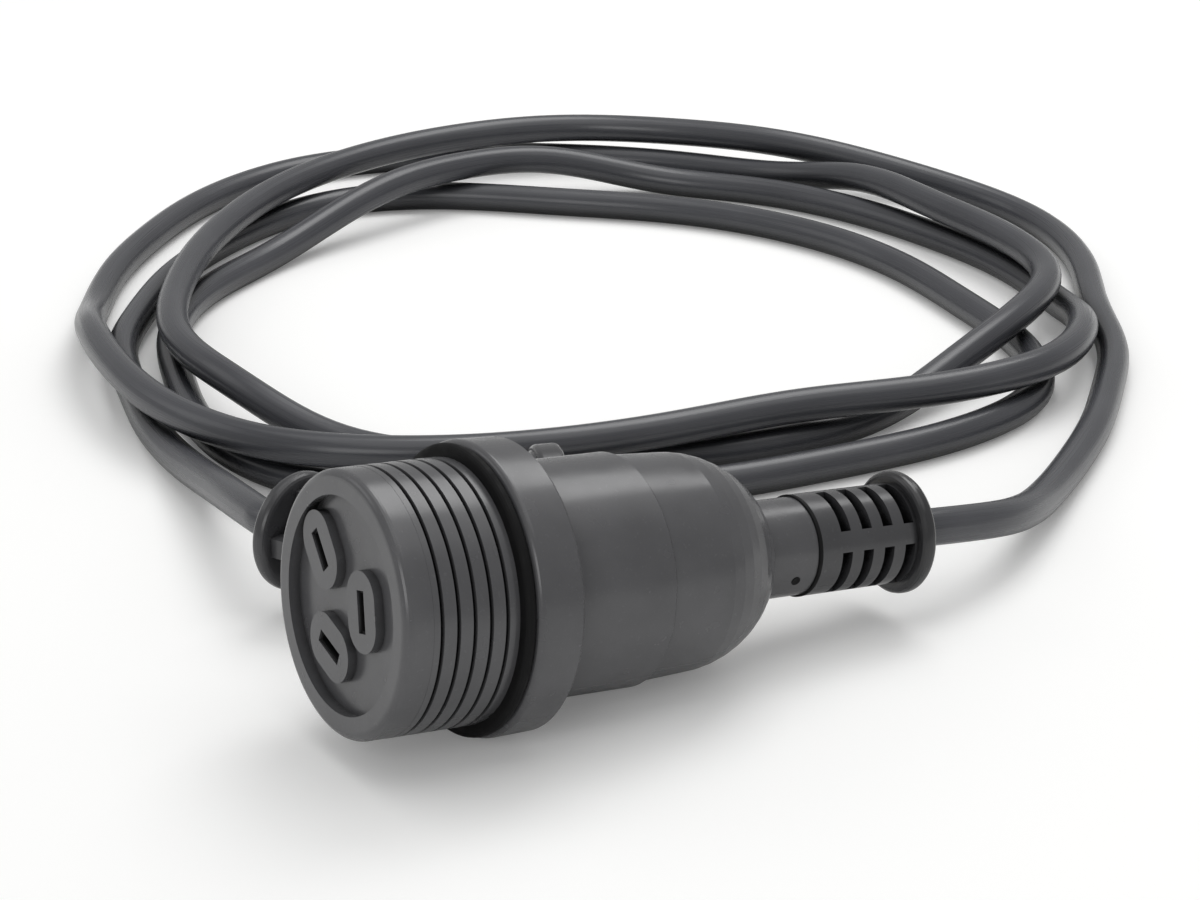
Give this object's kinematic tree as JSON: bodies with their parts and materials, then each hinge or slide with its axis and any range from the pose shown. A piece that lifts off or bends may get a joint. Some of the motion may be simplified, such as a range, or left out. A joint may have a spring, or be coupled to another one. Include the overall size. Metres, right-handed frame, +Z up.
{
  "type": "shore power cord",
  "caption": "Weatherproof mains cord with a threaded screw-collar socket, a loosely coiled sheathed cord and a moulded flat-pin plug.",
  "frame": {"origin": "on the floor, under the middle of the socket's bounding box", "axes": "+X along the socket towards its cord, +Y towards the coil, +Z up"},
  "size_m": [0.2759, 0.3187, 0.0494],
  "materials": {
    "moulded_grey": "satin moulded PVC",
    "cord_sheath": "smooth flexible PVC sheath",
    "black_rubber": "matte",
    "brass": "stamped",
    "steel": "zinc plated",
    "nylon": "moulded nylon",
    "core_brown": "extruded insulation",
    "core_blue": "extruded insulation",
    "core_green": "extruded insulation"
  },
  "bodies": {
    "root": {"socket_front": "moulded_grey", "contact_carrier": "nylon", "contact_active": "brass", "contact_neutral": "brass", "contact_earth": "brass", "terminal_screws": "steel", "sealing_washer": "black_rubber", "front_shell": "moulded_grey", "rear_shell": "moulded_grey", "gland_seal": "black_rubber", "cord_clamp": "nylon", "clamp_screws": "steel", "socket_core_active": "core_brown", "socket_core_neutral": "core_blue", "socket_core_earth": "core_green", "socket_sheath": "cord_sheath", "strain_relief": "moulded_grey", "plug_body": "moulded_grey", "pin_bridge": "nylon", "pin_active": "brass", "pin_neutral": "brass", "pin_earth": "brass", "pin_sleeves": "black_rubber", "plug_core_active": "core_brown", "plug_core_neutral": "core_blue", "plug_core_earth": "core_green", "plug_sheath": "cord_sheath", "plug_strain_relief": "moulded_grey", "cord_socket_lead": "cord_sheath", "cord_coil": "cord_sheath", "cord_plug_lead": "cord_sheath"}
  },
  "joints": []
}
